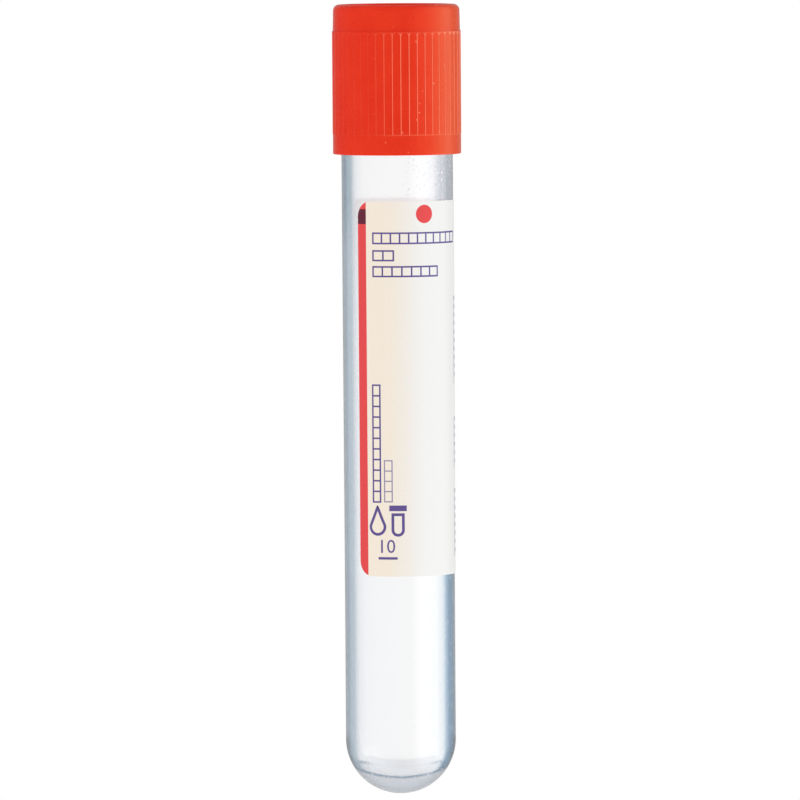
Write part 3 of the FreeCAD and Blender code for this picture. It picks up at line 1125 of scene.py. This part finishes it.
floor_paint, tree = new_material("White studio board")
floor_data.materials.append(floor_paint)
board = add_node(tree, "BsdfDiffuse", Color=linear("f7f7f7"))
nothing = add_node(tree, "BsdfTransparent")
place = add_node(tree, "TexCoord")
from_middle = add_node(tree, "VectorMath", {"operation": "LENGTH"}, _0=place.outputs["Object"])
edge_fade = add_node(
    tree, "MapRange", SMOOTH, Value=from_middle, From_Min=FLOOR_RADIUS * 0.3, From_Max=FLOOR_RADIUS * 0.95
)
side_seen = add_node(tree, "NewGeometry")
gone = add_node(tree, "Math", MAXIMUM, _0=edge_fade, _1=side_seen.outputs["Backfacing"])
surface = add_node(tree, "MixShader", _0=gone, _1=board, _2=nothing)
add_node(tree, "OutputMaterial", Surface=surface)
print(f"floor {2 * FLOOR_RADIUS:.1f} m across")

# %% The white room
ROOM_LIGHT = 1.06  # for matt surfaces
THROUGH_WALL = 0.97  # what the clear wall sees
DIM = 0.15  # what a shine sees, but for the backdrop and the soft box
BACKDROP = 0.45
BACKDROP_STARTS, BACKDROP_FULL = 0.7, 0.95  # the Y of a direction of length 1
SOFT_BOX = 2.3
SOFT_BOX_STARTS, SOFT_BOX_FULL = -0.3, -0.8  # the X of a direction
SOFT_BOX_GONE, SOFT_BOX_WHOLE = 0.6, 0.25  # the Y of a direction

world = bpy.data.worlds.new("White room")
scene.world = world
world.use_nodes = True
tree = world.node_tree
tree.nodes.clear()
path = add_node(tree, "LightPath")
direction = add_node(tree, "TexCoord").outputs["Generated"]
x, y, z = add_node(tree, "SeparateXYZ", Vector=direction).outputs
shone = add_node(
    tree, "MapRange", SMOOTH, Value=x, From_Min=SOFT_BOX_STARTS, From_Max=SOFT_BOX_FULL, To_Max=SOFT_BOX
)
not_behind = add_node(tree, "MapRange", SMOOTH, Value=y, From_Min=SOFT_BOX_GONE, From_Max=SOFT_BOX_WHOLE)
soft_box = add_node(tree, "Math", MULTIPLY, _0=shone, _1=not_behind)
behind = add_node(
    tree, "MapRange", Value=y, From_Min=BACKDROP_STARTS, From_Max=BACKDROP_FULL, To_Min=DIM, To_Max=BACKDROP
)
brighter = add_node(tree, "Math", MAXIMUM, _0=soft_box, _1=behind)
room = [ROOM_LIGHT, ROOM_LIGHT, ROOM_LIGHT, 1]
for ray, level in (
    ("Is Glossy Ray", brighter),
    ("Is Transmission Ray", [THROUGH_WALL, THROUGH_WALL, THROUGH_WALL, 1]),
    ("Is Camera Ray", linear("ffffff")),
):
    room = add_node(tree, "Mix", MIX_COLOURS, _0=path.outputs[ray], _6=room, _7=level)
background = add_node(tree, "Background", Color=room, Strength=1.0)
add_node(tree, "OutputWorld", Surface=background)
print(f"room light {ROOM_LIGHT}")

# %% Lamps
centre = Vector((0, 0, (rim + tube_top) / 2 * MM))


def add_lamp(name, place, width, height, level):
    """A soft box aimed at the object, whose level is what it adds to a white surface that faces it."""
    data = bpy.data.lights.new(name, "AREA")
    data.shape = "RECTANGLE"
    data.size, data.size_y = width, height
    place = Vector(place)
    data.energy = level * math.pi**2 * (place - centre).length_squared
    lamp = bpy.data.objects.new(name, data)
    scene.collection.objects.link(lamp)
    aim = (centre - place).to_track_quat("-Z", "Y")
    lamp.matrix_world = Matrix.Translation(place) @ aim.to_matrix().to_4x4()
    lamp.visible_transmission = False
    lamp.visible_camera = False
    return lamp


add_lamp("side_soft_box", place=(-0.9, -0.45, 0.056), width=0.8, height=0.8, level=0.04)
add_lamp("fill_soft_box", place=(0.9, -0.3, 0.7), width=0.9, height=0.9, level=0.08)

# %% [markdown]
# ## Camera
#
# The camera looks along +Y with a long lens. It hangs upside down a little below the rim, so that the
# closure is at the top of its view and the label can be read.

# %% Camera
CAMERA_DISTANCE = 1.638  # in metres
CAMERA_HEIGHT = -30.0  # in millimetres, as the aim
AIM_HEIGHT = 56.06
AIM_SIDE = -0.18
LENS = 521.0
SENSOR = 36.0
LEAN = math.radians(0.374)  # how far the camera is rolled

camera_data = bpy.data.cameras.new("camera")
camera_data.lens = LENS
camera_data.sensor_width = SENSOR
camera = bpy.data.objects.new("camera", camera_data)
scene.collection.objects.link(camera)
scene.camera = camera
stand = Vector((0, -CAMERA_DISTANCE, CAMERA_HEIGHT * MM))
look = (Vector((AIM_SIDE * MM, 0, AIM_HEIGHT * MM)) - stand).normalized()
right = look.cross(Vector((0, 0, -1))).normalized()
up = right.cross(look)
turned_right = right * math.cos(LEAN) - up * math.sin(LEAN)
turned_up = up * math.cos(LEAN) + right * math.sin(LEAN)
turned = Matrix((turned_right, turned_up, -look)).transposed()
camera.matrix_world = Matrix.Translation(stand) @ turned.to_4x4()
camera_data.clip_start = 0.05
camera_data.clip_end = 20.0

scene.view_settings.view_transform = "Standard"
